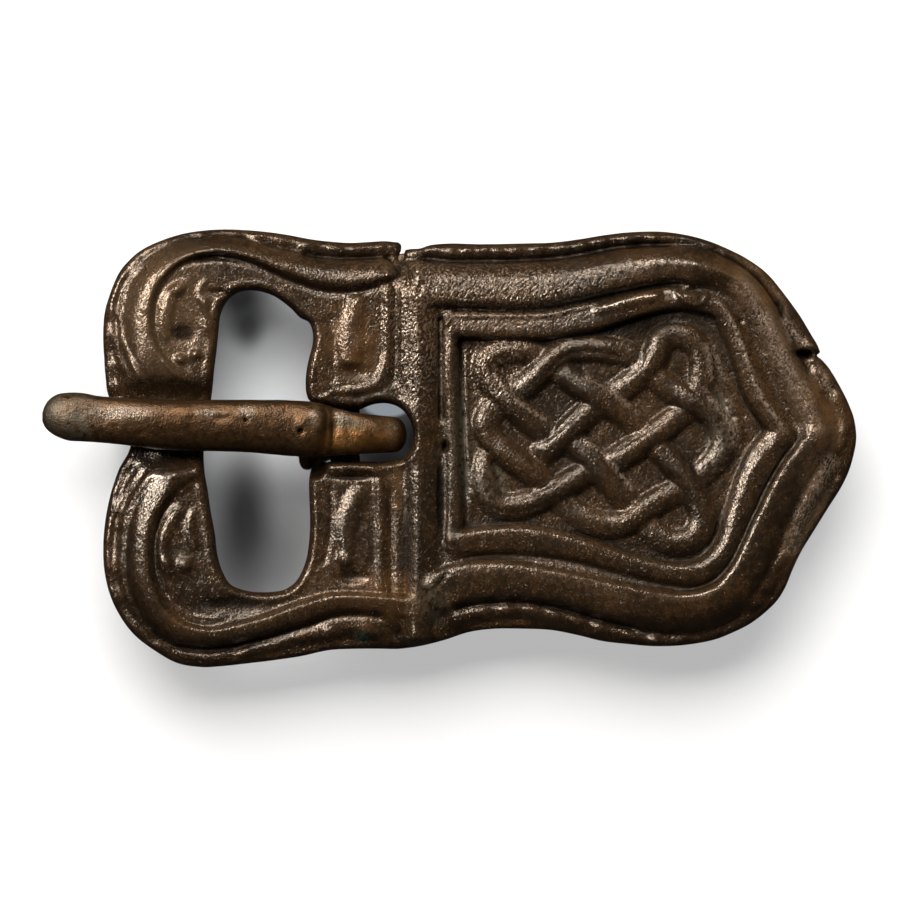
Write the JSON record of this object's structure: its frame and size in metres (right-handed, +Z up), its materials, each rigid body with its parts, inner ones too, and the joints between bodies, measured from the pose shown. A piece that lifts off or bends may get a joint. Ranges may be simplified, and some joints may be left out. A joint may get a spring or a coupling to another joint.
{
  "type": "belt buckle",
  "caption": "Cast lyre-shaped belt buckle with fixed plate, interlace knot relief, beaded rim, hooked swinging tongue and riveted square washers behind.",
  "frame": {"origin": "under the middle of the whole buckle, on the plane of the rivet stud heads", "axes": "+X along the buckle from the tongue's tip to the plate's point, +Y across it, +Z up out of the decorated face"},
  "size_m": [0.0551, 0.0296, 0.0083],
  "materials": {
    "cast_bronze": "dark brown patina over grainy cast surface, semi-gloss",
    "tongue_bronze": "warm brown patina, rubbed smooth",
    "rove_bronze": "dull brown patina, hammered"
  },
  "bodies": {
    "frame_body": {"loop_and_plate": "cast_bronze", "rove_1": "rove_bronze", "rove_2": "rove_bronze", "rove_3": "rove_bronze"},
    "tongue_body": {"tongue": "tongue_bronze"}
  },
  "joints": [
    {"name": "tongue_hinge", "type": "hinge", "parent": "frame_body", "child": "tongue_body", "pos_m": [-0.00711, 0, 0.0046], "axis": [0, 1, 0], "range_deg": [0, 95]}
  ]
}
